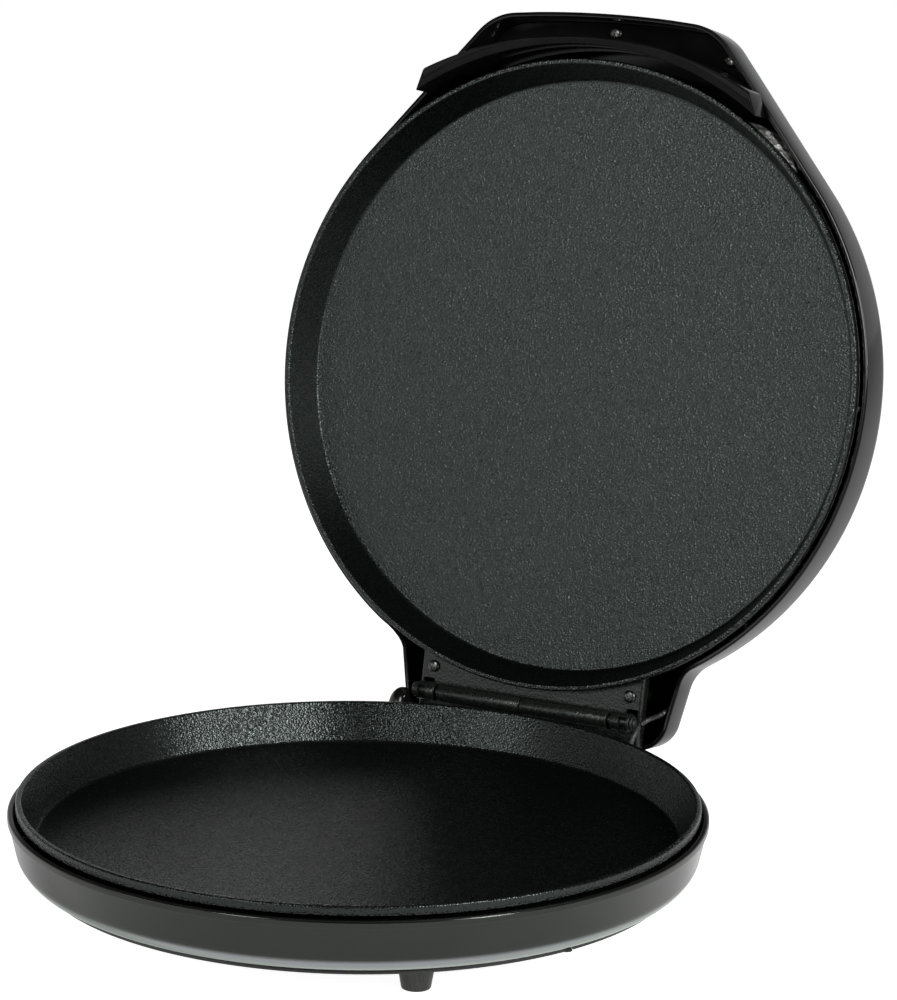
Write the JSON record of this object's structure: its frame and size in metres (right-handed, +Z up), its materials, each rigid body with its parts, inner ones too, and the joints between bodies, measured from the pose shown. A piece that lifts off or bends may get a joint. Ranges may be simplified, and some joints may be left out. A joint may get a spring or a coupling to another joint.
{
  "type": "electric pizza maker",
  "caption": "Countertop electric pizza maker: a round base and a round hinged lid, each with a shallow non-stick cooking plate.",
  "frame": {"origin": "bottom centre of the bounding box, on the surface that the feet stand on", "axes": "+Z up, +Y from the front of the base towards the hinge, +X to the right seen from the front"},
  "size_m": [0.3338, 0.4458, 0.404],
  "materials": {
    "plate_coating": "black non-stick coating with a fine texture",
    "hinge_coating": "black textured coating",
    "gloss_black": "polished black",
    "dark_band": "dark warm grey, satin to gloss",
    "black_steel": "satin black",
    "bare_steel": "bright zinc",
    "aluminised_steel": "aluminised",
    "aluminium_sheet": "plain sheet",
    "rubber": "matte",
    "ceramic": "unglazed",
    "red_lens": "clear red",
    "green_lens": "clear green",
    "lead_sleeve": "satin sleeve"
  },
  "bodies": {
    "base": {"base_hinge_bracket": "hinge_coating", "base_housing": "dark_band", "bottom_cover": "black_steel", "cord_gland": "rubber", "cover_screw_1": "bare_steel", "cover_screw_2": "bare_steel", "cover_screw_3": "bare_steel", "cover_screw_4": "bare_steel", "foot_front_left": "gloss_black", "foot_front_right": "gloss_black", "foot_rear_right": "gloss_black", "foot_rear_left": "gloss_black", "foot_pad_front_left": "rubber", "foot_pad_front_right": "rubber", "foot_pad_rear_right": "rubber", "foot_pad_rear_left": "rubber", "hinge_bracket_screw_1": "bare_steel", "hinge_bracket_screw_2": "bare_steel", "hinge_pin": "black_steel", "hinge_pin_clip": "black_steel", "lead_grommet": "rubber", "lid_lead_base_end": "lead_sleeve", "lower_cooking_plate": "plate_coating", "lower_element_strap_1": "bare_steel", "lower_element_strap_2": "bare_steel", "lower_element_strap_3": "bare_steel", "lower_heat_shield": "aluminised_steel", "lower_heating_element": "bare_steel", "lower_shield_screw": "bare_steel", "lower_thermal_fuse": "ceramic", "lower_thermostat": "black_steel", "terminal_block": "ceramic"},
    "lid": {"grip_screw_left": "bare_steel", "grip_screw_middle": "bare_steel", "grip_screw_right": "bare_steel", "handle_grip": "gloss_black", "insulation_foil": "aluminium_sheet", "lid_hinge_plate": "hinge_coating", "lid_hinge_screw_left": "bare_steel", "lid_hinge_screw_right": "bare_steel", "lid_lead_lid_end": "lead_sleeve", "lid_shell": "gloss_black", "power_lamp": "red_lens", "ready_lamp": "green_lens", "upper_cooking_plate": "plate_coating", "upper_element_strap_1": "bare_steel", "upper_element_strap_2": "bare_steel", "upper_element_strap_3": "bare_steel", "upper_heat_shield": "aluminium_sheet", "upper_heating_element": "bare_steel", "upper_shield_screw": "bare_steel", "upper_thermal_fuse": "ceramic", "upper_thermostat": "black_steel"}
  },
  "joints": [
    {"name": "lid_hinge", "type": "hinge", "parent": "base", "child": "lid", "pos_m": [0, 0.11634, 0.0526], "axis": [1, 0, 0], "range_deg": [0, 101.1]}
  ]
}
